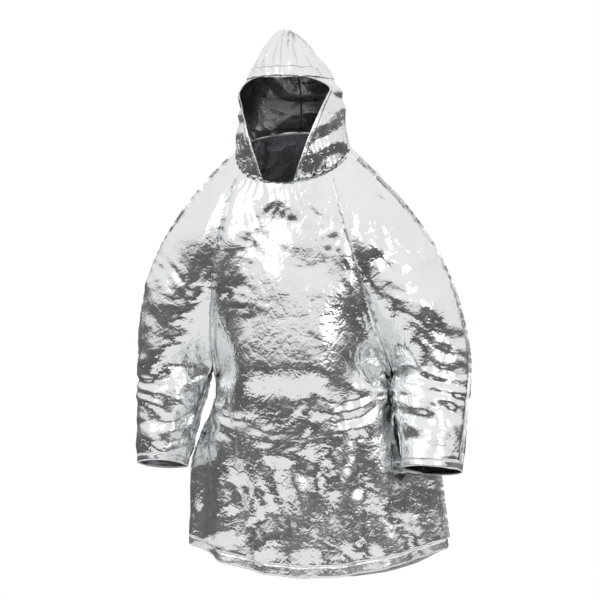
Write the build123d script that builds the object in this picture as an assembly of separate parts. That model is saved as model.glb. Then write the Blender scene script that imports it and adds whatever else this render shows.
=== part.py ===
from build123d import *

import os
from math import acos, asin, cos, exp, pi, radians, sin

# Hooded emergency poncho: a garment of thin film panels joined by heat-sealed flange seams.
# Millimetres. The origin is the middle of the neck, level with its two sides, +Z is up,
# the front faces -Y, and the wearer's left arm is on +X.

# Film and seams
FILM = 1.2  # stand-in thickness of the film
SEAM_GAP = 1.2  # half the gap between two panels under a seam
FLANGE_HEIGHT = 6.0  # how far a seam flange stands out of the surface
FLANGE_LIFT = 1.0  # clearance between a flange and the panels under it
HEM_GAP = 0.8  # clearance between a folded hem band and the edge of its panel
BODY_GAP = 0.6  # clearance between two bodies that move apart

# Neck ring, measured in its own tilted plane
NECK_HALF_WIDTH = 138.0
NECK_FRONT = 149.0
NECK_BACK = 87.0
NECK_TILT = 33.5
NECK_SIDE_Y = 12.0

# Yoke: the wide upper part, sleeves and body in one, from the neck down to the underarm
UNDERARM_DROP = 540.0
YOKE_HALF_WIDTH = 412.0
YOKE_HALF_DEPTH = 185.0
SHOULDER_POWER = 2.3  # how fast the shoulder line falls away from the neck
RAGLAN_NECK_X = 112.0
RAGLAN_UNDERARM_X = 225.0
VALLEY_WIDTH = 85.0  # width of the fold that closes between arm and body
VALLEY_DEPTH = 0.95  # share of the depth that the fold has closed at the underarm

# Body below the underarm
WAIST_DROP = 585.0
WAIST_HALF_WIDTH = 222.0
FLARE_DROP = 800.0
FLARE_HALF_WIDTH = 312.0
HEM_HALF_WIDTH = 322.0
BODY_FRONT = 168.0
BODY_BACK = 150.0
SIDE_SEAM_SETBACK = 55.0  # the side seam lies behind the arm
SIDE_SHAPE = 1.6  # 2 is an ellipse, less is more pointed at the side seams
HEM_SIDE_DROP = 968.0
HEM_FRONT_DROP = 1030.0
HEM_BACK_DROP = 1062.0
HEM_BAND = 22.0
HEM_CURVE = 2.5  # how fast the hem rises towards the side seams
SWAY = 60.0  # sideways drift of the body at 1 m below the neck

# Free sleeve ends
CUFF_DROP = 772.0
FOLDS_TOP_DROP = 546.0
FOLDS_END_DROP = 640.0
CUFF_TILT = -11.0
CUFF_BAND = 18.0
SLEEVE_CLEARANCE = 3.0  # between the sleeve tube and the underarm fold
CUFFS = {
    "left": {"side": 1, "x": 365.0, "y": -92.0, "half_width": 66.0, "half_depth": 78.0},
    "right": {"side": -1, "x": -320.0, "y": -34.0, "half_width": 56.0, "half_depth": 84.0},
}

# Hood
BRIM_HEIGHT = 140.0
HOOD_HALF_WIDTH = 127.0
HOOD_FRONT = 127.0
HOOD_BACK = 108.0
PEAK_HEIGHT = 292.0
PEAK_HALF_WIDTH = 9.0
PEAK_FRONT = 15.0
PEAK_BACK = 18.0
HOOD_LEAN = -18.0  # sideways lean of the peak
FACE_X = -8.0
FACE_HALF_WIDTH = 114.0
FACE_TOP = 173.0
ARCH_HEIGHT = 38.0  # height of the ellipse that rounds the opening's upper corners
FACE_BOTTOM_HALF_WIDTH = 32.0
FACE_BOTTOM = -95.0
FACE_HEM = 14.0
BRIM_HALF_WIDTH = 100.0
HOOD_SLIT = 0.3  # between the sides and the crown of a hood panel

ANGLE_STEP = radians(0.4)
ARC_POINTS = 21
YOKE_RINGS = 16
BODY_RINGS = 14
SIDE_RINGS = 14
ARCH_RINGS = 7
CROWN_RINGS = 14


def frame_at(angle_degrees):
    """Direction that runs backwards and up in a plane tilted about X, and its normal."""
    tilt = radians(angle_degrees)
    return Vector(0, cos(tilt), sin(tilt)), Vector(0, -sin(tilt), cos(tilt))


def drift(drop):
    """Sideways place of the garment's middle at a drop below the neck."""
    return SWAY * (max(drop, 0.0) / 1000.0) ** 1.3


def blend(start, end, share):
    return start + (end - start) * share


def steps(start, end, count):
    return [blend(start, end, i / (count - 1)) for i in range(count)]


def ease(share):
    """Share that starts and ends level."""
    return share * share * (3 - 2 * share)


class Row:
    """A line of points round the garment: angle 0 is +X, 90 degrees is the back."""

    def even_angles(self, start, end):
        """Angles between two ends that are spaced evenly along the row."""
        angles = steps(start, end, 6 * ARC_POINTS)
        points = [self.point(a) for a in angles]
        lengths = [0.0]
        for a, b in zip(points, points[1:]):
            lengths.append(lengths[-1] + (b - a).length)
        found = []
        for goal in steps(0.0, lengths[-1], ARC_POINTS):
            i = max(j for j in range(len(angles) - 1) if lengths[j] <= goal + 1e-9)
            share = (goal - lengths[i]) / (lengths[i + 1] - lengths[i])
            found.append(blend(angles[i], angles[i + 1], share))
        return found

class Section(Row):
    """One flat ring through the garment."""

    def __init__(self, centre, half_width, front, back, tilt=0.0, shape=2.0, valley=0.0, valley_x=0.0):
        self.centre = Vector(*centre)
        self.half_width = half_width
        self.front = front
        self.back = back
        self.across, self.normal = frame_at(tilt)
        self.power = 2.0 / shape
        self.valley = valley
        self.valley_x = valley_x

    def point(self, angle):
        c, s = cos(angle), sin(angle)
        x = self.half_width * abs(c) ** self.power * (1 if c >= 0 else -1)
        fold = 1.0 - self.valley * exp(-(((abs(x) - self.valley_x) / VALLEY_WIDTH) ** 2))
        y = (self.back if s > 0 else -self.front) * abs(s) ** self.power * fold
        return self.centre + Vector(x, 0, 0) + self.across * y

    def tangent(self, angle):
        return (self.point(angle + ANGLE_STEP) - self.point(angle - ANGLE_STEP)).normalized()

    def outward(self, angle):
        return self.tangent(angle).cross(self.normal).normalized()

    def shifted(self, angle, distance):
        """The angle that lies a distance further round the ring."""
        step = (self.point(angle + ANGLE_STEP) - self.point(angle - ANGLE_STEP)).length
        return angle + distance * 2.0 * ANGLE_STEP / step

    def angle_of_x(self, x):
        """Angle at the back of the +X side at a distance x from the middle."""
        return acos((x / self.half_width) ** (1.0 / self.power))


def surface_normals(grid, outward):
    """Normal at each point of a grid of points, on the side that outward points to."""
    normals = []
    for i, row in enumerate(grid):
        above, below = grid[max(i - 1, 0)], grid[min(i + 1, len(grid) - 1)]
        line = []
        for j in range(len(row)):
            along = row[min(j + 1, len(row) - 1)] - row[max(j - 1, 0)]
            line.append(along.cross(below[j] - above[j]).normalized())
        normals.append(line)
    middle = normals[len(grid) // 2][len(grid[0]) // 2]
    sign = 1 if middle.dot(outward) > 0 else -1
    return [[normal * sign for normal in line] for line in normals]


def closed_film(outer, inner):
    """Solid between two grids of points."""
    near, far = [
        Face.make_surface_from_array_of_points(grid, tol=1e-3, min_deg=3, max_deg=3)
        for grid in (outer, inner)
    ]
    walls = []
    for edge in near.edges():
        middle = edge.position_at(0.5)
        twin = min(far.edges(), key=lambda other: (other.position_at(0.5) - middle).length)
        walls.append(Face.make_surface_from_curves(edge, twin))
    return Solid(Shell([near, far] + walls))


def panel(rings, spans, layers=1):
    """Film panel through rings, each with its own pair of end angles."""
    angles = [ring.even_angles(*span) for ring, span in zip(rings, spans)]
    outer = [[ring.point(a) for a in line] for ring, line in zip(rings, angles)]
    half = len(rings) // 2
    normals = surface_normals(outer, rings[half].outward(angles[half][ARC_POINTS // 2]))
    depth = FILM * layers
    inner = [[p - n * depth for p, n in zip(*lines)] for lines in zip(outer, normals)]
    return closed_film(outer, inner)


def seam(rings, angles):
    """Heat-sealed flange along one angle of each ring."""
    line = [ring.point(angle) for ring, angle in zip(rings, angles)]
    sides = [ring.tangent(angle) for ring, angle in zip(rings, angles)]
    half = len(rings) // 2
    strip = [[p - side, p, p + side] for p, side in zip(line, sides)]
    normals = [row[1] for row in surface_normals(strip, rings[half].outward(angles[half]))]
    heights = steps(FLANGE_LIFT, FLANGE_LIFT + FLANGE_HEIGHT, 4)
    faces = []
    for shift in (FILM / 2, -FILM / 2):
        rows = zip(line, sides, normals)
        faces.append([[p + side * shift + n * h for h in heights] for p, side, n in rows])
    return closed_film(*faces)


def yoke_section(share):
    """Ring of the yoke, from the neck (share 0) to the underarm (share 1)."""
    drop = UNDERARM_DROP * share
    return Section(
        centre=(drift(drop), NECK_SIDE_Y * (1 - share), -drop),
        half_width=blend(NECK_HALF_WIDTH, YOKE_HALF_WIDTH, 1 - (1 - share) ** SHOULDER_POWER),
        front=blend(NECK_FRONT, YOKE_HALF_DEPTH, share),
        back=blend(NECK_BACK, YOKE_HALF_DEPTH, 1 - (1 - share) ** 2),
        tilt=NECK_TILT * (1 - share) ** 2,
        valley=VALLEY_DEPTH * share**3,
        valley_x=raglan_x(share),
    )


def raglan_x(share):
    """Distance of the raglan seams from the middle of the yoke."""
    return blend(RAGLAN_NECK_X, RAGLAN_UNDERARM_X, share**0.8)


def body_half_width(drop):
    if drop < FLARE_DROP:
        share = (drop - WAIST_DROP) / (FLARE_DROP - WAIST_DROP)
        return blend(WAIST_HALF_WIDTH, FLARE_HALF_WIDTH, ease(share))
    return blend(FLARE_HALF_WIDTH, HEM_HALF_WIDTH, (drop - FLARE_DROP) / (HEM_SIDE_DROP - FLARE_DROP))


def body_section(drop):
    """Ring of the body below the underarm."""
    share = ease(min((drop - UNDERARM_DROP) / (FLARE_DROP - UNDERARM_DROP), 1.0))
    setback = SIDE_SEAM_SETBACK * share
    return Section(
        centre=(drift(drop), setback, -drop),
        half_width=body_half_width(drop),
        front=BODY_FRONT + setback,
        back=BODY_BACK - setback / 2,
        shape=blend(2.0, SIDE_SHAPE, share),
    )


class BodyRow(Row):
    """A row part of the way down from the underarm to the curved hem."""

    def __init__(self, share):
        self.share = share

    def section(self, angle):
        middle = HEM_BACK_DROP if sin(angle) > 0 else HEM_FRONT_DROP
        hem_drop = blend(middle, HEM_SIDE_DROP, abs(cos(angle)) ** HEM_CURVE)
        return body_section(blend(WAIST_DROP, hem_drop, self.share))

    def point(self, angle):
        return self.section(angle).point(angle)

    def tangent(self, angle):
        return self.section(angle).tangent(angle)

    def outward(self, angle):
        return self.section(angle).outward(angle)

    def shifted(self, angle, distance):
        return self.section(angle).shifted(angle, distance)


def sleeve_section(cuff, drop):
    """Ring of a free sleeve end, from the underarm down to the cuff."""
    share = (drop - UNDERARM_DROP) / (CUFF_DROP - UNDERARM_DROP)
    lobe_x = drift(UNDERARM_DROP) + cuff["side"] * (YOKE_HALF_WIDTH + RAGLAN_UNDERARM_X) / 2
    lobe_half = (YOKE_HALF_WIDTH - RAGLAN_UNDERARM_X) / 2 - SLEEVE_CLEARANCE
    lobe_depth = YOKE_HALF_DEPTH * 0.45
    half_depth = blend(lobe_depth, cuff["half_depth"], share)
    return Section(
        centre=(blend(lobe_x, cuff["x"], share), cuff["y"] * share, -drop),
        half_width=blend(lobe_half, cuff["half_width"], share),
        front=half_depth,
        back=half_depth,
        tilt=CUFF_TILT * share**2,
    )


def hood_section(height):
    """Ring of the hood at a height of its sides above the neck."""
    crown = max((height - BRIM_HEIGHT) / (PEAK_HEIGHT - BRIM_HEIGHT), 0.0)
    rise = min(height / BRIM_HEIGHT, 1.0)
    return Section(
        centre=(HOOD_LEAN * (height / PEAK_HEIGHT) ** 2, NECK_SIDE_Y, height),
        half_width=blend(
            blend(NECK_HALF_WIDTH, HOOD_HALF_WIDTH, rise), PEAK_HALF_WIDTH, 1 - (1 - crown) ** 0.75
        ),
        front=blend(blend(NECK_FRONT, HOOD_FRONT, rise), PEAK_FRONT, 1 - (1 - crown) ** 0.6),
        back=blend(blend(NECK_BACK, HOOD_BACK, rise), PEAK_BACK, 1 - (1 - crown) ** 0.5),
        tilt=NECK_TILT * (1 - rise) ** 2,
    )


YOKE_SHARES = steps(0.0, 1.0, YOKE_RINGS)
YOKE = [yoke_section(share) for share in YOKE_SHARES]
BODY_LENGTH = HEM_SIDE_DROP - WAIST_DROP
BAND_SHARE = 1.0 - HEM_BAND / BODY_LENGTH
BODY = [BodyRow(share) for share in steps(0.0, BAND_SHARE - HEM_GAP / BODY_LENGTH, BODY_RINGS)]
HEM = [BodyRow(share) for share in steps(BAND_SHARE, 1.0, 4)]


def gap_span(ring, start, end):
    """End angles pulled in by the seam gap at both ends."""
    return ring.shifted(start, SEAM_GAP), ring.shifted(end, -SEAM_GAP)


def raglan_angles(side, back):
    """Angle of a raglan seam in each ring of the yoke, on +X for side 1."""
    angles = [ring.angle_of_x(raglan_x(share)) for share, ring in zip(YOKE_SHARES, YOKE)]
    if side < 0:
        angles = [pi - angle for angle in angles]
    return angles if back else [-angle for angle in angles]


def main_panel(back):
    """Front or back panel, from the neck to the hem."""
    ends = zip(raglan_angles(1, back), raglan_angles(-1, back))
    spans = [gap_span(ring, *sorted(pair)) for ring, pair in zip(YOKE, ends)]
    half_turn = (0.0, pi) if back else (-pi, 0.0)
    spans += [gap_span(row, *half_turn) for row in BODY]
    return panel(YOKE + BODY, spans)


parts = {}

# Front and back panels, with a folded hem band on each
for name, back in (("front", False), ("back", True)):
    parts[f"{name}_panel"] = main_panel(back)
    half_turn = (0.0, pi) if back else (-pi, 0.0)
    parts[f"{name}_hem"] = panel(HEM, [gap_span(row, *half_turn) for row in HEM], layers=2)

# Sleeve halves, overarm and raglan seams of the yoke, and the side seams of the body
for side_name, cuff in CUFFS.items():
    side = cuff["side"]
    for half, back in (("front", False), ("back", True)):
        over = 0.0 if side > 0 else (pi if back else -pi)
        raglan = raglan_angles(side, back)
        spans = [gap_span(ring, *sorted((over, angle))) for ring, angle in zip(YOKE, raglan)]
        parts[f"{side_name}_sleeve_{half}"] = panel(YOKE, spans)
        parts[f"{side_name}_{half}_raglan_seam"] = seam(YOKE[1:], raglan[1:])
    parts[f"{side_name}_overarm_seam"] = seam(YOKE[1:], [over] * (YOKE_RINGS - 1))
    parts[f"{side_name}_side_seam"] = seam(BODY[1:-2], [over] * (BODY_RINGS - 3))

# Neck seam: a flat flange round the neck ring
neck = YOKE[0]
turns = steps(0.0, 2 * pi, 25)[:-1]
rim = [neck.point(a) + neck.outward(a) * FLANGE_HEIGHT for a in turns]
hole = [neck.point(a) - neck.outward(a) * FILM for a in turns]
discs = [Face(Wire([Edge.make_spline(loop, periodic=True)])) for loop in (rim, hole)]
outside, inside = [Solid.extrude(disc, neck.normal * FILM) for disc in discs]
parts["neck_seam"] = (outside - inside).moved(Location(neck.normal * BODY_GAP))

# Free sleeve ends: a ring of folds at the underarm, then the end that swings with the arm
for side_name, cuff in CUFFS.items():
    folds = [sleeve_section(cuff, drop) for drop in steps(FOLDS_TOP_DROP, FOLDS_END_DROP, 5)]
    band_top = CUFF_DROP - CUFF_BAND
    end = [sleeve_section(cuff, drop) for drop in steps(FOLDS_END_DROP + BODY_GAP, band_top - HEM_GAP, 6)]
    band = [sleeve_section(cuff, drop) for drop in steps(band_top, CUFF_DROP, 3)]
    for node, rings, layers in (("sleeve_folds", folds, 1), ("cuff_hem", band, 2)):
        halves = []
        for start in (-pi, 0.0):
            halves.append(panel(rings, [gap_span(ring, start, start + pi) for ring in rings], layers))
        parts[f"{side_name}_{node}"] = Compound(halves)
    for half, start in (("front", -pi), ("back", 0.0)):
        spans = [gap_span(ring, start, start + pi) for ring in end]
        parts[f"{side_name}_sleeve_end_{half}"] = panel(end, spans)
    seams = [seam(end, [angle] * len(end)) for angle in (0.0, pi)]
    parts[f"{side_name}_sleeve_end_seams"] = Compound(seams)

# Hood, in rings from the neck to the peak
HOOD_LIFT = neck.normal * (FILM + 2.5 * BODY_GAP)


def hood_ring(height):
    """Ring of the hood, set clear above the neck seam."""
    ring = hood_section(height)
    ring.centre += HOOD_LIFT * max(1 - height / BRIM_HEIGHT, 0)
    return ring


ARCH_END = asin((FACE_TOP - BRIM_HEIGHT) / ARCH_HEIGHT)


def face_half_width(height):
    """Half the width of the face opening at a height."""
    if height < BRIM_HEIGHT:
        share = (height - FACE_BOTTOM) / (BRIM_HEIGHT - FACE_BOTTOM)
        return blend(FACE_BOTTOM_HALF_WIDTH, FACE_HALF_WIDTH, share)
    if height > FACE_TOP + HOOD_SLIT / 2:
        return 0.0
    return FACE_HALF_WIDTH * (1 - ((height - BRIM_HEIGHT) / ARCH_HEIGHT) ** 2) ** 0.5


def face_angle(ring, side):
    """Angle where the face opening ends on a ring, or the front seam above the opening."""
    inner, outer = -pi / 2, 0.0 if side > 0 else -pi
    for _ in range(30):
        middle = (inner + outer) / 2
        point = ring.point(middle)
        if abs(point.X - FACE_X) < face_half_width(point.Z):
            inner = middle
        else:
            outer = middle
    seam_edge = ring.shifted(-pi / 2, side * HALF_SEAM)
    return max(inner, seam_edge) if side > 0 else min(inner, seam_edge)


HALF_SEAM = FILM / 2 + SEAM_GAP
SIDE_HEIGHTS = steps(0.0, BRIM_HEIGHT, SIDE_RINGS)
ARCH_HEIGHTS = [BRIM_HEIGHT + ARCH_HEIGHT * sin(t) for t in steps(0.0, ARCH_END, ARCH_RINGS)]
CROWN_BASE = (1 - (FACE_TOP + HOOD_SLIT - BRIM_HEIGHT) / (PEAK_HEIGHT - BRIM_HEIGHT)) ** 0.5
CROWN_HEIGHTS = [
    PEAK_HEIGHT - (PEAK_HEIGHT - BRIM_HEIGHT) * rest**2 for rest in steps(CROWN_BASE, 0.0, CROWN_RINGS)
]
HOOD_SIDES = [hood_ring(height) for height in SIDE_HEIGHTS + ARCH_HEIGHTS[1:]]
HOOD_CROWN = [hood_ring(height) for height in CROWN_HEIGHTS]
CREST = [ring for ring in HOOD_CROWN if ring.centre.Z > FACE_TOP + FACE_HEM]
face_hem = []
for side_name, side in (("left", 1), ("right", -1)):
    spine_angle = pi / 2 if side > 0 else -3 * pi / 2
    spans, bands = [], []
    for ring in HOOD_SIDES + HOOD_CROWN:
        edge = face_angle(ring, side)
        width_share = min(abs(ring.point(edge).X - FACE_X) / BRIM_HALF_WIDTH, 1.0)
        hem = ring.shifted(edge, side * FACE_HEM * ease(width_share))
        start = ring.shifted(hem, side * HEM_GAP)
        spans.append(sorted((start, ring.shifted(spine_angle, -side * HALF_SEAM))))
        if width_share == 1.0:
            bands.append((ring, sorted((edge, hem))))
    split = len(HOOD_SIDES)
    halves = [panel(HOOD_SIDES, spans[:split]), panel(HOOD_CROWN, spans[split:])]
    parts[f"hood_{side_name}_panel"] = Compound(halves)
    face_hem.append(panel(*zip(*bands), layers=2))
parts["hood_face_hem"] = Compound(face_hem)
spines = [seam(rings, [pi / 2] * len(rings)) for rings in (HOOD_SIDES[3:], HOOD_CROWN)]
crest = seam(CREST, [-pi / 2] * len(CREST))
top = HOOD_CROWN[-1]
loop = [top.point(a) for a in turns]
peak_face = Face(Wire([Edge.make_spline(loop, periodic=True)]))
peak = Solid.extrude(peak_face, Vector(0, 0, FILM)).moved(Location((0, 0, FLANGE_LIFT)))
parts["hood_centre_seam"] = Compound([*spines, crest, peak])

os.makedirs("parts", exist_ok=True)
for name, part in parts.items():
    export_step(part, f"parts/{name}.step")
    print(name, round(part.volume), part.is_valid)
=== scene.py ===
from math import cos, pi, radians, sin

import bpy
import numpy as np
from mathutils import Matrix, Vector


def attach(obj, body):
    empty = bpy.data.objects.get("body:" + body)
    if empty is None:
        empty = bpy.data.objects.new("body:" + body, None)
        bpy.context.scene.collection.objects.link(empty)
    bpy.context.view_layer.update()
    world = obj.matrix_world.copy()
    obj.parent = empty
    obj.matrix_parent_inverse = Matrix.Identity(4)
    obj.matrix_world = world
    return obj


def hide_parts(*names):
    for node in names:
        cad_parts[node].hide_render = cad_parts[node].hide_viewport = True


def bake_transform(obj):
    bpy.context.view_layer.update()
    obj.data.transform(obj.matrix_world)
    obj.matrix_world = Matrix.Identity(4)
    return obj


bl_info = {
    "name": "Emergency Poncho",
    "version": (1, 0, 0),
    "blender": (4, 5, 0),
    "location": "3D View > Sidebar > Poncho",
    "description": "Builds a hooded emergency poncho of crinkled metallised film",
    "category": "Add Mesh",
}

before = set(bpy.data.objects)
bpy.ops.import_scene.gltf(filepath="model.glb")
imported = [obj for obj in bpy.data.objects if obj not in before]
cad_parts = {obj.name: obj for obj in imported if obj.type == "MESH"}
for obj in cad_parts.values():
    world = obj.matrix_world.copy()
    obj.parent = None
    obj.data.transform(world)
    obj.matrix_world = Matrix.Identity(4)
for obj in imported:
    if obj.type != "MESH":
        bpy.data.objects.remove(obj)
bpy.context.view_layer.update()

# Sizes of the poncho, in metres and degrees: +Z is up, the front faces -Y, the left arm is on +X.
# UNDERARM, WAIST, FLARE, HEM, CUFF and BEND sizes are drops below the neck.
NECK_HALF_WIDTH, NECK_FRONT, NECK_BACK = 0.138, 0.149, 0.087
NECK_TILT = 33.5
NECK_Y = 0.012
NECK = np.array([0.0, NECK_Y, 0.0])
NECK_NORMAL = np.array([0.0, -0.552, 0.834])
UNDERARM = 0.540
YOKE_HALF_WIDTH, YOKE_HALF_DEPTH = 0.412, 0.185
SHOULDER_POWER = 2.3
RAGLAN_NECK_X, RAGLAN_UNDERARM_X = 0.112, 0.225
VALLEY_WIDTH, VALLEY_DEPTH = 0.085, 0.95
SWAY = 0.060
WAIST, WAIST_HALF_WIDTH = 0.585, 0.222
FLARE, FLARE_HALF_WIDTH = 0.800, 0.312
HEM_SIDE, HEM_FRONT, HEM_BACK, HEM_HALF_WIDTH = 0.968, 1.030, 1.062, 0.322
BODY_FRONT, BODY_BACK = 0.168, 0.150
SIDE_SEAM_SETBACK = 0.055
CUFF = 0.772
CUFF_TILT = -11
LOBE_X, LOBE_HALF_WIDTH, LOBE_HALF_DEPTH = 0.3185, 0.0905, 0.08325
BEND_TOP, BEND_END = 0.546, 0.640
CUFFS = {
    "Left": {"side": 1, "x": 0.365, "y": -0.092, "half_width": 0.066, "half_depth": 0.078},
    "Right": {"side": -1, "x": -0.320, "y": -0.034, "half_width": 0.056, "half_depth": 0.084},
}
BRIM = 0.140
HOOD_HALF_WIDTH, HOOD_FRONT, HOOD_BACK = 0.127, 0.127, 0.108
PEAK = 0.292
PEAK_HALF_WIDTH, PEAK_FRONT, PEAK_BACK = 0.009, 0.015, 0.018
HOOD_LEAN = -0.018
HOOD_BEND = 0.12
FACE_X = -0.008
FACE_HALF_WIDTH, FACE_TOP, ARCH_HEIGHT = 0.114, 0.173, 0.038
CHIN_HALF_WIDTH, CHIN = 0.032, -0.095

# Film of the pieces, and how far the crumpling may lift it
FILM_WALL, BODY_HEM_WALL, CUFF_HEM_WALL, FACE_HEM_WALL = 0.0005, 0.0016, 0.0014, 0.001
FACE_HEM_LIFT = 0.0016
HIGHEST_FOLD = 0.017

# Rows and columns of the pieces' grids. The yoke's last rows and the first rows
# below it give way to rows that bridge the waist.
YOKE_ROWS, BODY_ROWS, SLEEVE_ROWS = 104, 84, 44
BODY_COLUMNS, SLEEVE_COLUMNS, HOOD_COLUMNS = 128, 66, 84
WAIST_ROWS, WAIST_TRIM = 17, 4
YOKE_END = YOKE_ROWS - WAIST_TRIM - 1
LOWER_START = YOKE_END + WAIST_ROWS
BODY_END = LOWER_START + BODY_ROWS - WAIST_TRIM
SLEEVE_END = LOWER_START + SLEEVE_ROWS - WAIST_TRIM
SEAM_START = 4
LOWER_SEAM_START = LOWER_START + 2


# Shapes of the garment before it is crumpled


def blend(a, b, share):
    """Value between two others: a at share 0, b at share 1."""
    return a + (b - a) * share


def ease(share):
    """A share from 0 to 1 that starts and ends gently."""
    share = np.clip(share, 0.0, 1.0)
    return share * share * (3 - 2 * share)


def drift(drop):
    """Sideways place of the garment's middle at a drop below the neck."""
    return SWAY * np.maximum(drop, 0.0) ** 1.3


def ring(angle, centre, half_width, front, back, tilt=0.0, power=1.0, valley=0.0, valley_x=0.0):
    """Points at angles round a flat, tilted ring: 0 is +X and a quarter turn is the back."""
    c, s = np.cos(angle), np.sin(angle)
    x = half_width * np.abs(c) ** power * np.sign(c)
    fold = 1.0 - valley * np.exp(-(((np.abs(x) - valley_x) / VALLEY_WIDTH) ** 2))
    y = np.where(s > 0, back, -front) * np.abs(s) ** power * fold
    t = np.radians(tilt)
    return np.stack([centre[0] + x, centre[1] + y * np.cos(t), centre[2] + y * np.sin(t)], -1)


def raglan_x(share):
    """How far out the raglan seams lie on a ring of the yoke."""
    return blend(RAGLAN_NECK_X, RAGLAN_UNDERARM_X, share ** 0.8)


def yoke_half_width(share):
    """Half the width of the yoke, which falls away from the neck as a shoulder does."""
    return blend(NECK_HALF_WIDTH, YOKE_HALF_WIDTH, 1 - (1 - share) ** SHOULDER_POWER)


def yoke(share, angle):
    """Ring of the yoke, from the neck (share 0) to the underarm (share 1)."""
    drop = UNDERARM * share
    return ring(
        angle, (drift(drop), NECK_Y * (1 - share), -drop), yoke_half_width(share),
        blend(NECK_FRONT, YOKE_HALF_DEPTH, share), blend(NECK_BACK, YOKE_HALF_DEPTH, 1 - (1 - share) ** 2),
        NECK_TILT * (1 - share) ** 2, 1.0, VALLEY_DEPTH * share ** 3, raglan_x(share),
    )


def raglan_angle(share):
    """Angle of the left raglan seam on a ring of the yoke."""
    return np.arccos(raglan_x(share) / yoke_half_width(share))


def body(share, angle):
    """Row of the body, from the underarm (share 0) to the curved hem (share 1)."""
    middle = np.where(np.sin(angle) > 0, HEM_BACK, HEM_FRONT)
    hem = blend(middle, HEM_SIDE, np.abs(np.cos(angle)) ** 2.5)
    drop = blend(WAIST, hem, share)
    down = ease((drop - UNDERARM) / (FLARE - UNDERARM))
    setback = SIDE_SEAM_SETBACK * down
    upper = blend(WAIST_HALF_WIDTH, FLARE_HALF_WIDTH, ease((drop - WAIST) / (FLARE - WAIST)))
    lower = blend(FLARE_HALF_WIDTH, HEM_HALF_WIDTH, (drop - FLARE) / (HEM_SIDE - FLARE))
    half = np.where(drop < FLARE, upper, lower)
    return ring(
        angle, (drift(drop), setback, -drop), half, BODY_FRONT + setback, BODY_BACK - setback / 2,
        0.0, 2.0 / blend(2.0, 1.6, down),
    )


def sleeve(cuff, drop, angle):
    """Ring of a sleeve end, from the underarm down to the cuff."""
    share = (drop - UNDERARM) / (CUFF - UNDERARM)
    lobe = drift(UNDERARM) + cuff["side"] * LOBE_X
    depth = blend(LOBE_HALF_DEPTH, cuff["half_depth"], share)
    return ring(
        angle, (blend(lobe, cuff["x"], share), cuff["y"] * share, -drop),
        blend(LOBE_HALF_WIDTH, cuff["half_width"], share), depth, depth, CUFF_TILT * share ** 2,
    )


def hood(height, angle):
    """Ring of the hood at a height of its sides above the neck."""
    crown = max((height - BRIM) / (PEAK - BRIM), 0.0)
    rise = min(height / BRIM, 1.0)
    return ring(
        angle, (HOOD_LEAN * (height / PEAK) ** 2, NECK_Y, height),
        blend(blend(NECK_HALF_WIDTH, HOOD_HALF_WIDTH, rise), PEAK_HALF_WIDTH, 1 - (1 - crown) ** 0.75),
        blend(blend(NECK_FRONT, HOOD_FRONT, rise), PEAK_FRONT, 1 - (1 - crown) ** 0.6),
        blend(blend(NECK_BACK, HOOD_BACK, rise), PEAK_BACK, 1 - (1 - crown) ** 0.5),
        NECK_TILT * (1 - rise) ** 2,
    )


def face_half_width(z):
    """Half the width of the face opening at a height: it widens to the brim and is rounded above."""
    if z < BRIM:
        return blend(CHIN_HALF_WIDTH, FACE_HALF_WIDTH, (z - CHIN) / (BRIM - CHIN))
    if z > FACE_TOP:
        return 0.0
    return FACE_HALF_WIDTH * (1 - ((z - BRIM) / ARCH_HEIGHT) ** 2) ** 0.5


def face_angle(height, side):
    """Angle where the face opening ends on a ring of the hood, or the front seam above it."""
    inner, outer = -pi / 2, 0.0 if side > 0 else -pi
    for _ in range(26):
        middle = (inner + outer) / 2
        x, _, z = hood(height, np.array(middle))
        if abs(x - FACE_X) < face_half_width(z):
            inner = middle
        else:
            outer = middle
    return inner


def even_row(points_at, start, end, count):
    """Points spaced evenly along a row between two angles."""
    angles = np.linspace(start, end, 240)
    points = points_at(angles)
    length = np.concatenate([[0.0], np.cumsum(np.linalg.norm(np.diff(points, axis=0), axis=1))])
    return points_at(np.interp(np.linspace(0.0, length[-1], count), length, angles))


# Creases, folds and crumpling of the film


def lattice(i, j, seed):
    """Repeatable value from -1 to 1 at a place of a lattice."""
    n = (i.astype(np.int64) * 73856093) ^ (j.astype(np.int64) * 19349663) ^ (seed * 83492791)
    n = (n ^ (n >> 13)) * 1274126177
    n = n ^ (n >> 16)
    return (n & 0xFFFF) / 32767.5 - 1.0


def facets(a, b, cell, seed):
    """Flat triangular facets of a size, which meet in straight creases."""
    turn = 0.7 * seed
    p = (a * cos(turn) - b * sin(turn)) / cell
    q = (a * sin(turn) + b * cos(turn)) / cell
    u, v = p - q * 0.57735, q * 1.1547
    i, j = np.floor(u), np.floor(v)
    s, t = u - i, v - j
    low = s + t < 1
    one = lattice(i + 1, j, seed)
    two = lattice(i, j + 1, seed)
    near = lattice(i, j, seed)
    far = lattice(i + 1, j + 1, seed)
    return np.where(
        low, near + s * (one - near) + t * (two - near), far + (1 - s) * (two - far) + (1 - t) * (one - far)
    )


def zigzag(x):
    """Sharp folds from -1 to 1 with a period of 1."""
    return 4 * np.abs((x % 1.0) - 0.5) - 1


def waves(a, b, size, seed):
    """Gentle swell of a size, which bends the creases out of line."""
    k = 2 * pi / size
    return (
        np.sin(k * (a * 0.83 + b * 0.55) + seed * 1.7) + np.sin(k * (0.62 * b - a * 0.91) + seed * 2.9)
        + np.sin(k * 1.7 * (a * 0.35 + b * 0.8) + seed * 4.1)
    ) / 3


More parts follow.
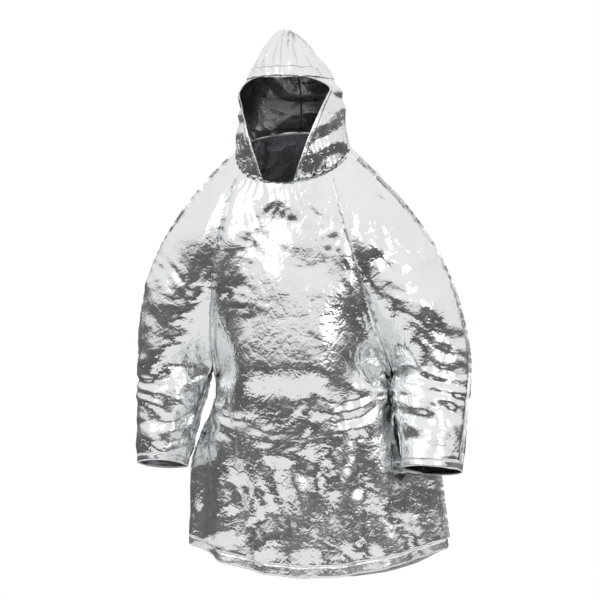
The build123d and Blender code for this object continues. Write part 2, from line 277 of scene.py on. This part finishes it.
def crumple(points):
    """Height of the crumpled film over its smooth shape."""
    a = points[..., 0] + 0.7 * points[..., 1]
    b = points[..., 2] + 0.35 * points[..., 1]
    aw = a + 0.026 * waves(a, b, 0.26, 1)
    bw = b + 0.026 * waves(a, b, 0.21, 2)
    busy = ease(0.5 + 0.9 * waves(a, b, 0.36, 5))
    height = 0.0080 * facets(aw, bw * 0.7, 0.135, 3)
    height += 0.0046 * facets(aw, bw * 0.85, 0.070, 7)
    height += 0.0027 * facets(aw, bw, 0.036, 11) * (0.45 + 0.9 * busy)
    height += 0.0015 * facets(aw, bw, 0.018, 13) * (0.25 + busy)
    return height * bpy.context.scene.poncho_sizes.crumple


def pull(points, x, z, reach, count, height, phase=0.0):
    """Folds that run out from a point where the film is gathered."""
    dx, dz = points[..., 0] - x, points[..., 2] - z
    far = np.hypot(dx, dz)
    turn = np.arctan2(dz, dx) / (2 * pi)
    near = ease(far / 0.05)
    return height * near * np.exp(-far / reach) * zigzag(turn * count + phase + 0.9 * waves(dx, dz, 0.3, 3))


def fold_lines(points):
    """Creases that the folded pack left: long straight lines up and across."""
    x, z = points[..., 0], points[..., 2]
    up = zigzag((x + 0.035 * waves(x, z, 0.9, 6)) / 0.146)
    across = zigzag((z + 0.012 * waves(x, z, 0.8, 8)) / 0.118)
    return 0.0018 * up + 0.0014 * across


# Places where the film stands proud, as (x, z, width, height, depth)
SWELLS = (
    (-0.185, -0.205, 0.085, 0.060, 0.013), (0.238, -0.165, 0.070, 0.055, 0.012),
    (0.345, -0.385, 0.090, 0.050, 0.012), (-0.130, -0.470, 0.055, 0.050, 0.010),
    (-0.105, -0.750, 0.085, 0.060, 0.012), (0.055, -0.520, 0.220, 0.150, 0.022),
    (0.180, -0.300, 0.060, 0.080, 0.008), (-0.020, -0.330, 0.120, 0.080, 0.008),
    (0.250, -0.790, 0.080, 0.080, 0.009), (-0.300, -0.560, 0.060, 0.070, 0.009),
)


def swells(points):
    """Broad places where the film is blown out over the folds beneath it."""
    x, z = points[..., 0], points[..., 2]
    height = 0.0
    for at_x, at_z, width, tall, depth in SWELLS:
        height = height + depth * np.exp(-(((x - at_x) / width) ** 2) - ((z - at_z) / tall) ** 2)
    return height * (points[..., 1] < 0.02)


def garment_folds(points):
    """Large folds of the body, sleeves and neck."""
    x, y, z = points[..., 0], points[..., 1], points[..., 2]
    front = y < 0
    turn = np.arctan2(y, x - drift(-z))
    low = ease((-z - 0.42) / 0.55)
    down = 0.011 * low * zigzag(turn * 1.9 + 0.45 * waves(x, z, 0.62, 4))
    down += 0.003 * low * zigzag(turn * 4.7 + 0.9 * waves(x, z, 0.40, 9))
    chest = 0.003 * (1 - low) * zigzag(x / 0.19 + 0.6 * z + 0.3 * waves(x, z, 0.5, 2))
    neck = np.exp(-np.maximum(np.hypot(x, (y - 0.01) * 1.1) - 0.13, 0) / 0.045) * np.exp(-np.abs(z) / 0.16)
    gathers = 0.0030 * neck * front * zigzag(turn * 6.3 + 0.8 * waves(x, z, 0.12, 5))
    armpits = np.where(
        front,
        pull(points, 0.235, -0.600, 0.12, 6, 0.007) + pull(points, -0.205, -0.640, 0.11, 5, 0.007, 0.3),
        pull(points, 0.245, -0.560, 0.12, 6, 0.007, 0.2) + pull(points, -0.190, -0.560, 0.12, 5, 0.007),
    )
    return down + chest + swells(points) + gathers + armpits + fold_lines(points)


def sleeve_folds(points):
    """Folds across a bent sleeve, above and below the elbow."""
    x, z = points[..., 0], points[..., 2]
    arm = ease((np.abs(x - drift(-z)) - 0.20) / 0.09)
    bend = np.exp(-(((z + 0.60) / 0.11) ** 2)) + 0.5 * np.exp(-(((z + 0.33) / 0.10) ** 2))
    across = 0.003 * zigzag(z / 0.071 + x / 0.17 + 1.2 * waves(x, z, 0.22, 7))
    return arm * bend * (across + 0.005 * facets(x * 0.5, z, 0.036, 17))


def grid_normals(grid):
    """Unit normal at each point of a grid."""
    up = np.gradient(grid, axis=0)
    across = np.gradient(grid, axis=1)
    normal = np.cross(up, across)
    return normal / (np.linalg.norm(normal, axis=2, keepdims=True) + 1e-12)


def edge_fade(grid, width, kept, top):
    """Share of the crumpling that is left near the sealed sides of a panel, and its top if that is sealed."""
    rows, cols = grid.shape[:2]
    steps = np.linalg.norm(np.diff(grid, axis=1), axis=2)
    across = np.concatenate([np.zeros((rows, 1)), np.cumsum(steps, 1)], 1)
    share = blend(kept, 1, ease(across / width)) * blend(kept, 1, ease((across[:, -1:] - across) / width))
    if top:
        steps = np.linalg.norm(np.diff(grid, axis=0), axis=2)
        along = np.concatenate([np.zeros((1, cols)), np.cumsum(steps, 0)], 0)
        share *= blend(kept, 1, ease(along / width))
    return share


# Meshes, materials and pieces


def hex_to_linear(code):
    """Linear colour of an sRGB hex value."""
    channels = [int(code[i : i + 2], 16) / 255 for i in (1, 3, 5)]
    return [c / 12.92 if c <= 0.04045 else ((c + 0.055) / 1.055) ** 2.4 for c in channels] + [1.0]


def film_sheet(name, grid, outward, material, inner=None, depth=FILM_WALL):
    """Film from a grid of points, faces turned outwards, with its inner face and rim in a darker material of
    painted shade if one is given.
    """
    rows, cols = grid.shape[:2]
    index = np.arange(rows * cols).reshape(rows, cols)
    quads = np.stack([index[:-1, :-1], index[:-1, 1:], index[1:, 1:], index[1:, :-1]], -1).reshape(-1, 4)
    normal = grid_normals(grid)[rows // 2, cols // 2]
    if np.dot(normal, outward) > 0:
        quads = quads[:, ::-1]
    mesh = bpy.data.meshes.new(name)
    mesh.from_pydata(grid.reshape(-1, 3).tolist(), [], quads.tolist())
    mesh.materials.append(material)
    mesh.shade_smooth()
    piece = bpy.data.objects.new(name, mesh)
    bpy.context.scene.collection.objects.link(piece)
    if inner:
        mesh.materials.append(inner)
        wall = piece.modifiers.new("Film", "SOLIDIFY")
        wall.thickness, wall.offset = depth, -1.0
        # the inner face and the cut rim take the darker grey material: painted shade inside the film, which
        # is silver on both sides
        wall.material_offset, wall.material_offset_rim = 1, 1
        bpy.context.view_layer.objects.active = piece
        bpy.ops.object.modifier_apply(modifier=wall.name)
    return piece


def join_sheets(name, pieces):
    """Several sheets as one piece."""
    bpy.ops.object.select_all(action="DESELECT")
    for piece in pieces:
        piece.select_set(True)
    bpy.context.view_layer.objects.active = pieces[0]
    bpy.ops.object.join()
    pieces[0].name = name
    return pieces[0]


def add_node(tree, kind, place, links=(), **settings):
    """One node with its settings, and links given as (socket, source socket)."""
    node = tree.nodes.new(kind)
    node.location = place
    for key, value in settings.items():
        if hasattr(node, key):
            setattr(node, key, value)
        else:
            node.inputs[key.replace("_", " ")].default_value = value
    for socket, source in links:
        tree.links.new(source, node.inputs[socket])
    return node


def metallised_film(name, colour, roughness, fine):
    """Metallised polyester: a mirror of aluminium on clear film, creased all over."""
    material = bpy.data.materials.new(name)
    material.use_nodes = True
    tree = material.node_tree
    shader = tree.nodes["Principled BSDF"]
    shader.inputs["Base Color"].default_value = hex_to_linear(colour)
    shader.inputs["Metallic"].default_value = 1.0
    place = add_node(tree, "ShaderNodeTexCoord", (-1200, 0)).outputs["Object"]
    # sharp creases about 40 mm and 15 mm apart, soft dents 18 mm and 7 mm apart, and a crackle 2.5 mm apart
    bend = add_node(tree, "ShaderNodeTexNoise", (-1400, 300), [("Vector", place)], Scale=14.0, Detail=3.0)
    bent = add_node(
        tree, "ShaderNodeVectorMath", (-1200, 300), [(0, bend.outputs["Color"]), (2, place)],
        operation="MULTIPLY_ADD",
    )
    bent.inputs[1].default_value = (0.05, 0.05, 0.05)
    normal = None
    for level, scale, groove, strength in ((500, 24.0, 0.10, 0.18), (750, 66.0, 0.14, 0.09)):
        cells = add_node(
            tree, "ShaderNodeTexVoronoi", (-900, level), [("Vector", bent.outputs[0])],
            feature="DISTANCE_TO_EDGE", Scale=scale, Randomness=1.0,
        )
        line = add_node(
            tree, "ShaderNodeMapRange", (-700, level), [("Value", cells.outputs["Distance"])], From_Max=groove
        )
        crease = add_node(
            tree, "ShaderNodeBump", (-600, level),
            [("Height", line.outputs[0])] + ([("Normal", normal)] if normal else []),
            Strength=strength * fine, Distance=0.0016,
        )
        normal = crease.outputs[0]
    broad, close = (
        add_node(
            tree, "ShaderNodeTexVoronoi", (-900, level), [("Vector", place)],
            feature="F1", Scale=scale, Randomness=1.0,
        )
        for level, scale in ((200, 55.0), (0, 140.0))
    )
    crackle = add_node(tree, "ShaderNodeTexNoise", (-900, -250), [("Vector", place)], Scale=400.0, Detail=2.0)
    for place_x, source, strength, depth in (
        (-600, broad.outputs["Distance"], 0.17, 0.004), (-400, close.outputs["Distance"], 0.15, 0.002),
        (-200, crackle.outputs["Fac"], 0.10, 0.0006),
    ):
        dent = add_node(
            tree, "ShaderNodeBump", (place_x, 100), [("Height", source), ("Normal", normal)],
            Strength=strength * fine, Distance=depth,
        )
        normal = dent.outputs[0]
    tree.links.new(normal, shader.inputs["Normal"])
    # handled film is duller in patches 60 mm wide
    patches = add_node(tree, "ShaderNodeTexNoise", (-600, -300), [("Vector", place)], Scale=16.0, Detail=3.0)
    dull = add_node(
        tree, "ShaderNodeMapRange", (-350, -300), [("Value", patches.outputs["Fac"])],
        From_Min=0.35, From_Max=0.65, To_Min=roughness, To_Max=roughness + 0.10,
    )
    tree.links.new(dull.outputs[0], shader.inputs["Roughness"])
    return material


def place_piece(piece, nodes, rides, span=None):
    """Place a piece of film: with a span its shape is baked into world space, otherwise it moves with a
    body's empty; the parts it replaces are hidden.
    """
    if span:
        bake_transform(piece)
    else:
        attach(piece, rides)
    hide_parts(*nodes)
    return piece


def yoke_rows(start_at, end_at, cols):
    """Rows of the yoke from the neck to the underarm, between two angles that change on the way."""
    return [
        even_row(lambda a, s=share: yoke(s, a), start_at(share), end_at(share), cols)
        for share in np.linspace(0.0, 1.0, YOKE_ROWS)
    ]


def bridge(above, below, count):
    """Rows that carry on smoothly from the last of the rows above to the first below."""
    start, end = above[-1], below[0]
    gap = np.linalg.norm(end - start, axis=1, keepdims=True)
    leave, arrive = above[-1] - above[-2], below[1] - below[0]
    leave = leave / np.linalg.norm(leave, axis=1, keepdims=True) * gap
    arrive = arrive / np.linalg.norm(arrive, axis=1, keepdims=True) * gap
    rows = []
    for t in np.linspace(0.0, 1.0, count + 2)[1:-1]:
        rows.append(
            (2 * t**3 - 3 * t**2 + 1) * start + (t**3 - 2 * t**2 + t) * leave
            + (3 * t**2 - 2 * t**3) * end + (t**3 - t**2) * arrive
        )
    return rows


def smooth_waist(rows):
    """All rows of a panel, with a smooth passage from the yoke's to those below."""
    upper, lower = rows[: YOKE_END + 1], rows[YOKE_ROWS + WAIST_TRIM :]
    return np.array(upper[:-1] + bridge(upper, lower, WAIST_ROWS) + lower)


def main_grid(back):
    """Front or back panel from the neck down through its hem band."""
    sign = 1 if back else -1
    rows = yoke_rows(
        lambda s: sign * raglan_angle(s), lambda s: sign * (pi - raglan_angle(s)), BODY_COLUMNS
    )
    for share in np.concatenate([np.linspace(0.0, 0.94, BODY_ROWS), np.linspace(0.953, 1.0, 5)]):
        rows.append(even_row(lambda a, s=share: body(s, a), 0.0, sign * pi, BODY_COLUMNS))
    return smooth_waist(rows)


def settle(grid, way, extra=0.0):
    """Lay the folds and the crumpling on a panel of the garment, with a share of the sleeve's folds."""
    fade = edge_fade(grid, 0.035, 0.12, top=True)
    height = garment_folds(grid) + crumple(grid) + extra * sleeve_folds(grid)
    height = HIGHEST_FOLD * np.tanh(height / HIGHEST_FOLD)
    return grid + facing(grid, way) * (height * fade)[..., None]


def sleeve_grid(cuff, back):
    """Front or back of a sleeve, from the neck to its cuff band, with column 0 inside the arm."""
    side, sign = cuff["side"], 1 if back else -1
    over = 0.0 if side > 0 else sign * pi

    def raglan(share):
        return sign * (raglan_angle(share) if side > 0 else pi - raglan_angle(share))

    rows = yoke_rows(raglan, lambda s: over, SLEEVE_COLUMNS)
    inner, outer = (sign * pi, 0.0) if side > 0 else (0.0, sign * pi)
    drops = np.linspace(UNDERARM + 0.006, CUFF - 0.018, SLEEVE_ROWS)
    for drop in np.concatenate([drops, np.linspace(CUFF - 0.014, CUFF, 4)]):
        rows.append(even_row(lambda a, d=drop: sleeve(cuff, d, a), inner, outer, SLEEVE_COLUMNS))
    return smooth_waist(rows)


def flange(name, line, out, height):
    """Sealed flange that stands up from a seam, with a puckered free edge."""
    along = np.gradient(line, axis=0)
    along /= np.linalg.norm(along, axis=1, keepdims=True)
    side = np.cross(along, out)
    length = np.concatenate([[0.0], np.cumsum(np.linalg.norm(np.diff(line, axis=0), axis=1))])
    lean = 0.45 * np.sin(length * 17.0) + 0.25 * zigzag(length / 0.023) + 0.2 * np.sin(length * 97.0)
    rows = [
        line + out * (0.0004 + height * s) + side * (height * lean * s)[:, None]
        for s in np.linspace(0.0, 1.0, 4)
    ]
    return film_sheet(name, np.array(rows), out[len(out) // 2], film_material("Heat-sealed film seam"))


def seam_piece(name, lines, nodes, rides, span=None):
    """Flanges along some lines, given as (points, normals), as one piece of the garment."""
    height = bpy.context.scene.poncho_sizes.flange_height
    parts = [flange(f"{name}{i}", line, out, height) for i, (line, out) in enumerate(lines)]
    piece = join_sheets(name, parts) if len(parts) > 1 else parts[0]
    piece.name = name
    return place_piece(piece, nodes, rides, span=span)


def facing(grid, way):
    """Normals of a grid, turned to the side of a direction at its middle."""
    normal = grid_normals(grid)
    middle = normal[grid.shape[0] // 2, grid.shape[1] // 2]
    return -normal if np.dot(middle, way) < 0 else normal


class PONCHO_PG_sizes(bpy.types.PropertyGroup):
    flange_height: bpy.props.FloatProperty(
        name="Flange height", description="How far a seam flange stands up", default=0.006, unit="LENGTH"
    )
    crumple: bpy.props.FloatProperty(
        name="Crumpling", description="Share of the full crumpling of the film", default=1.0, subtype="FACTOR"
    )


class PONCHO_PG_colours(bpy.types.PropertyGroup):
    film: bpy.props.StringProperty(
        name="Film", description="sRGB colour of the metal coat", default="#E9EBEC"
    )
    # darker grey of the film's inner face: painted shade, not a colour of the film
    inner_face_shade: bpy.props.StringProperty(
        name="Inner face painted shade", description="sRGB colour of the film's inner face", default="#9DA0A3"
    )
    floor: bpy.props.StringProperty(name="Floor", description="sRGB colour of the floor", default="#F2F2F2")


def film_material(kind):
    """The film's finishes, made once: open panel, inner face in a darker grey that is painted shade, sealed
    seam and folded hem.
    """
    colours = bpy.context.scene.poncho_colours
    finishes = {
        "Metallised polyester film": (colours.film, 0.11, 1.0),
        "Heat-sealed film seam": (colours.film, 0.24, 0.8),
        "Folded film hem": (colours.film, 0.20, 0.9),
        # inner face: silver film painted darker grey as shade, and a little rougher
        "Film inner face in painted shade": (colours.inner_face_shade, 0.28, 1.0),
    }
    return bpy.data.materials.get(kind) or metallised_film(kind, *finishes[kind])


class PONCHO_OT_body_panels(bpy.types.Operator):
    """Front and back panels from the neck to the hem, with their seams and hem bands"""

    bl_idname = "poncho.body_panels"
    bl_label = "Body panels"

    def execute(self, context):
        film, inner_face_shade = film_material("Metallised polyester film"), film_material("Film inner face in painted shade")
        for name, back in (("Front", False), ("Back", True)):
            way = np.array([0.0, 1.0 if back else -1.0, 0.0])
            smooth = main_grid(back)
            normal = facing(smooth, way)
            grid = settle(smooth, way)
            for side, column in (("Left", 0), ("Right", -1)):
                low = side.lower()
                run = slice(SEAM_START, YOKE_END)
                seam_piece(
                    f"{side}{name}RaglanSeam", [(grid[run, column], normal[run, column])],
                    [f"{low}_{name.lower()}_raglan_seam"], "garment",
                )
                if not back:
                    run = slice(LOWER_SEAM_START, BODY_END)
                    away = [1.0 if side == "Left" else -1.0, 0.0, 0.0]
                    out = np.tile(away, (BODY_END - LOWER_SEAM_START, 1))
                    seam_piece(
                        f"{side}SideSeam", [(grid[run, column], out)], [f"{low}_side_seam"], "garment",
                    )
            band = film_sheet(
                f"{name}Hem", grid[BODY_END - 1 :], way, film_material("Folded film hem"),
                inner_face_shade, BODY_HEM_WALL,
            )
            place_piece(band, [f"{name.lower()}_hem"], "garment")
            piece = film_sheet(f"{name}Panel", grid[:BODY_END], way, film, inner_face_shade)
            place_piece(
                piece, [f"{name.lower()}_panel"], "garment",
            )
        return {"FINISHED"}


class PONCHO_OT_sleeves(bpy.types.Operator):
    """Front and back of both sleeves, from the neck to the cuffs"""

    bl_idname = "poncho.sleeves"
    bl_label = "Sleeves"

    def execute(self, context):
        film, inner_face_shade = film_material("Metallised polyester film"), film_material("Film inner face in painted shade")
        span = ((0, 0, -BEND_TOP), (0, 0, -BEND_END))
        for side, cuff in CUFFS.items():
            low = side.lower()
            bends = ("garment", f"{low}_sleeve_end")
            bands = []
            for half, back in (("Front", False), ("Back", True)):
                way = np.array([0.0, 1.0 if back else -1.0, 0.0])
                smooth = sleeve_grid(cuff, back)
                grid = settle(smooth, way, 1.0)
                normal = facing(smooth, way)
                if not back:
                    out = normal[:, -1] + 0.8 * np.array([cuff["side"], 0.0, 0.3])
                    inward = np.tile([-float(cuff["side"]), 0.0, 0.0], (len(grid), 1))
                    out /= np.linalg.norm(out, axis=1, keepdims=True)
                    over, under = slice(SEAM_START, SLEEVE_END), slice(LOWER_SEAM_START, SLEEVE_END)
                    seam_piece(
                        f"{side}OverarmSeam", [(grid[over, -1], out[over]), (grid[under, 0], inward[under])],
                        [f"{low}_overarm_seam", f"{low}_sleeve_end_seams"], bends, span,
                    )
                bands.append(film_sheet(
                    f"{side}Cuff{half}", grid[SLEEVE_END - 1 :], way, film_material("Folded film hem"),
                    inner_face_shade, CUFF_HEM_WALL,
                ))
                piece = film_sheet(f"{side}Sleeve{half}", grid[:SLEEVE_END], way, film, inner_face_shade)
                nodes = [f"{low}_sleeve_{half.lower()}", f"{low}_sleeve_end_{half.lower()}"]
                if not back:
                    nodes.append(f"{low}_sleeve_folds")
                place_piece(
                    piece, nodes, bends, span,
                )
            band = join_sheets(f"{side}CuffHem", bands)
            place_piece(band, [f"{low}_cuff_hem"], f"{low}_sleeve_end")
        return {"FINISHED"}


class PONCHO_OT_neck_seam(bpy.types.Operator):
    """Sealed seam that joins the hood to the neck"""

    bl_idname = "poncho.neck_seam"
    bl_label = "Neck seam"

    def execute(self, context):
        angles = np.linspace(0.0, 2 * pi, 180)
        line = yoke(0.0, angles)
        out = line - NECK
        out /= np.linalg.norm(out, axis=1, keepdims=True)
        seam_piece("NeckSeam", [(line, out)], ["neck_seam"], "garment")
        return {"FINISHED"}


def hood_heights():
    """Heights of the hood's rows: even up the sides and close together at the peak."""
    sides = np.linspace(0.0, BRIM, 40)
    arch = np.linspace(BRIM, FACE_TOP, 9)[1:]
    base = (1 - (FACE_TOP - BRIM) / (PEAK - BRIM)) ** 0.5
    crown = PEAK - (PEAK - BRIM) * np.linspace(base, 0.0, 44) ** 2
    return np.minimum(np.concatenate([sides, arch, crown + 1e-6]), PEAK)


def hood_folds(grid):
    """Gathers above the neck, slack in the sides and folds under the peak."""
    x, y, z = grid[..., 0], grid[..., 1], grid[..., 2]
    turn = np.arctan2(y - NECK_Y, x)
    low = 1 - ease((z + 0.02) / 0.09)
    high = ease((z - 0.15) / 0.10)
    height = 0.003 * low * zigzag(turn * 6.1 + 0.4 * waves(x, z, 0.1, 4))
    height += 0.006 * high * zigzag(turn * 2.3 + z / 0.11 + 0.3 * waves(x, z, 0.2, 6))
    return height + 0.003 * zigzag(z / 0.083 + 0.7 * waves(x + y, z, 0.25, 9)) * (1 - high)


class PONCHO_OT_hood(bpy.types.Operator):
    """Both hood panels, from the neck to the peak, with the hem of the face opening and the centre seam"""

    bl_idname = "poncho.hood"
    bl_label = "Hood"

    def execute(self, context):
        film, inner_face_shade = film_material("Metallised polyester film"), film_material("Film inner face in painted shade")
        span = (NECK.tolist(), (NECK + HOOD_BEND * NECK_NORMAL).tolist())
        heights = hood_heights()
        top = int(np.searchsorted(heights, FACE_TOP + 1e-7))
        bands, spines = [], []
        for side, sign in (("Left", 1), ("Right", -1)):
            way = np.array([float(sign), 0.0, 0.0])
            spine = pi / 2 if sign > 0 else -3 * pi / 2
            smooth = np.array([
                even_row(lambda a, h=height: hood(h, a), face_angle(height, sign), spine, HOOD_COLUMNS)
                for height in heights
            ])
            normal = facing(smooth, way)
            fade = edge_fade(smooth, 0.020, 0.25, top=False)
            grid = smooth + normal * ((0.7 * crumple(smooth) + hood_folds(smooth)) * fade)[..., None]
            hem = grid + normal * FACE_HEM_LIFT
            reach = int((np.abs(smooth[top, :, 0] - FACE_X) < 0.06).sum())
            folded = film_material("Folded film hem")
            bands.append(film_sheet(f"{side}FaceHem", hem[:top, :4], way, folded, inner_face_shade, FACE_HEM_WALL))
            bands.append(film_sheet(
                f"{side}BrimHem", hem[top : top + 6, : max(reach, 2)], np.array([0.0, -1.0, 0.3]),
                folded, inner_face_shade, FACE_HEM_WALL,
            ))
            if sign > 0:
                spines.append((grid[2:, -1], np.tile([0.0, 1.0, 0.0], (len(grid) - 2, 1))))
                spines.append((grid[top + 8 :, 0], np.tile([0.0, -0.8, 0.6], (len(grid) - top - 8, 1))))
            piece = film_sheet(f"Hood{side}", grid, way, film, inner_face_shade)
            place_piece(
                piece, [f"hood_{side.lower()}_panel"], ("garment", "hood"),
                span=span,
            )
        band = join_sheets("FaceHem", bands)
        place_piece(band, ["hood_face_hem"], ("garment", "hood"), span=span)
        seam_piece("HoodCentreSeam", spines, ["hood_centre_seam"], ("garment", "hood"), span)
        return {"FINISHED"}


class PONCHO_OT_stage(bpy.types.Operator):
    """Floor, soft light and camera"""

    bl_idname = "poncho.stage"
    bl_label = "Stage"

    def execute(self, context):
        scene = context.scene
        bpy.ops.object.select_all(action="DESELECT")
        bpy.ops.mesh.primitive_circle_add(vertices=96, radius=3.2, fill_type="NGON", location=(0, 0, -1.6))
        floor = context.object
        floor.name = "StudioFloor"
        paint = bpy.data.materials.new("Matt painted floor")
        paint.use_nodes = True
        shader = paint.node_tree.nodes["Principled BSDF"]
        shader.inputs["Base Color"].default_value = hex_to_linear(scene.poncho_colours.floor)
        shader.inputs["Roughness"].default_value = 0.9
        floor.data.materials.append(paint)

        world = bpy.data.worlds.new("Soft studio")
        world.use_nodes = True
        scene.world = world
        tree = world.node_tree
        tree.nodes.clear()
        way = add_node(tree, "ShaderNodeTexCoord", (-900, 0)).outputs["Generated"]
        parts = add_node(tree, "ShaderNodeSeparateXYZ", (-700, 0), [(0, way)])
        # a bright ceiling, a dim band round the walls and a pale floor
        ramp = add_node(
            tree, "ShaderNodeMapRange", (-500, 0), [("Value", parts.outputs["Z"])],
            From_Min=-1.0, From_Max=1.0,
        )
        bands = add_node(tree, "ShaderNodeValToRGB", (-300, 0), [(0, ramp.outputs[0])])
        stops = bands.color_ramp.elements
        stops[0].position, stops[0].color = 0.0, (0.62, 0.62, 0.62, 1)
        stops[1].position, stops[1].color = 1.0, (1.0, 1.0, 1.0, 1)
        for position, value in (
            (0.14, 0.55), (0.26, 0.28), (0.34, 0.08), (0.44, 0.12), (0.54, 0.18), (0.572, 0.72), (0.64, 0.90),
        ):
            stop = stops.new(position)
            stop.color = (value, value, value, 1)
        studio = add_node(tree, "ShaderNodeBackground", (0, 0), [("Color", bands.outputs[0])], Strength=1.0)
        paper = add_node(tree, "ShaderNodeBackground", (0, -150), Strength=1.0)
        paper.inputs["Color"].default_value = (1, 1, 1, 1)
        seen = add_node(tree, "ShaderNodeLightPath", (0, 250)).outputs["Is Camera Ray"]
        mix = add_node(
            tree, "ShaderNodeMixShader", (250, 0), [(0, seen), (1, studio.outputs[0]), (2, paper.outputs[0])]
        )
        add_node(tree, "ShaderNodeOutputWorld", (450, 0), [("Surface", mix.outputs[0])])

        for name, place, size, power in (
            ("KeyPanel", (-1.6, -3.0, 2.6), 2.2, 26.0),
            ("FillPanel", (3.0, -2.2, 0.9), 1.6, 8.0),
        ):
            light = bpy.data.lights.new(name, "AREA")
            light.shape = "SQUARE"
            light.size = size
            light.energy = power
            lamp = bpy.data.objects.new(name, light)
            lamp.location = place
            lamp.rotation_euler = (Vector((0, 0, -0.35)) - Vector(place)).to_track_quat("-Z", "Y").to_euler()
            scene.collection.objects.link(lamp)

        turn, distance, view_width, sensor = radians(13.0), 6.0, 1.47, 36.0
        target = Vector((0.020 * cos(turn), 0.020 * sin(turn), -0.367))
        camera = bpy.data.cameras.new("Camera")
        camera.sensor_width = sensor
        camera.lens = sensor * distance / view_width
        eye = bpy.data.objects.new("Camera", camera)
        eye.location = target + distance * Vector((sin(turn), -cos(turn), 0.0))
        eye.rotation_euler = (target - eye.location).to_track_quat("-Z", "Y").to_euler()
        scene.collection.objects.link(eye)
        scene.camera = eye
        scene.view_settings.view_transform = "Standard"
        return {"FINISHED"}


class PONCHO_PT_panel(bpy.types.Panel):
    """Sizes, colours and steps of the poncho in the 3D view's sidebar"""

    bl_label = "Emergency poncho"
    bl_idname = "PONCHO_PT_panel"
    bl_space_type = "VIEW_3D"
    bl_region_type = "UI"
    bl_category = "Poncho"

    def draw(self, context):
        sizes, colours = context.scene.poncho_sizes, context.scene.poncho_colours
        for group, names in ((sizes, ("flange_height", "crumple")), (colours, ("film", "inner_face_shade", "floor"))):
            for name in names:
                self.layout.prop(group, name)
        for step in STEPS:
            self.layout.operator(step.bl_idname)


STEPS = (PONCHO_OT_neck_seam, PONCHO_OT_body_panels, PONCHO_OT_sleeves, PONCHO_OT_hood, PONCHO_OT_stage)
CLASSES = (PONCHO_PG_sizes, PONCHO_PG_colours, *STEPS, PONCHO_PT_panel)


def register():
    for cls in CLASSES:
        bpy.utils.register_class(cls)
    bpy.types.Scene.poncho_sizes = bpy.props.PointerProperty(type=PONCHO_PG_sizes)
    bpy.types.Scene.poncho_colours = bpy.props.PointerProperty(type=PONCHO_PG_colours)


def unregister():
    del bpy.types.Scene.poncho_colours
    del bpy.types.Scene.poncho_sizes
    for cls in reversed(CLASSES):
        bpy.utils.unregister_class(cls)


def main():
    register()
    bpy.ops.poncho.neck_seam()
    bpy.ops.poncho.body_panels()
    bpy.ops.poncho.sleeves()
    bpy.ops.poncho.hood()
    bpy.ops.poncho.stage()


if __name__ == "__main__":
    main()
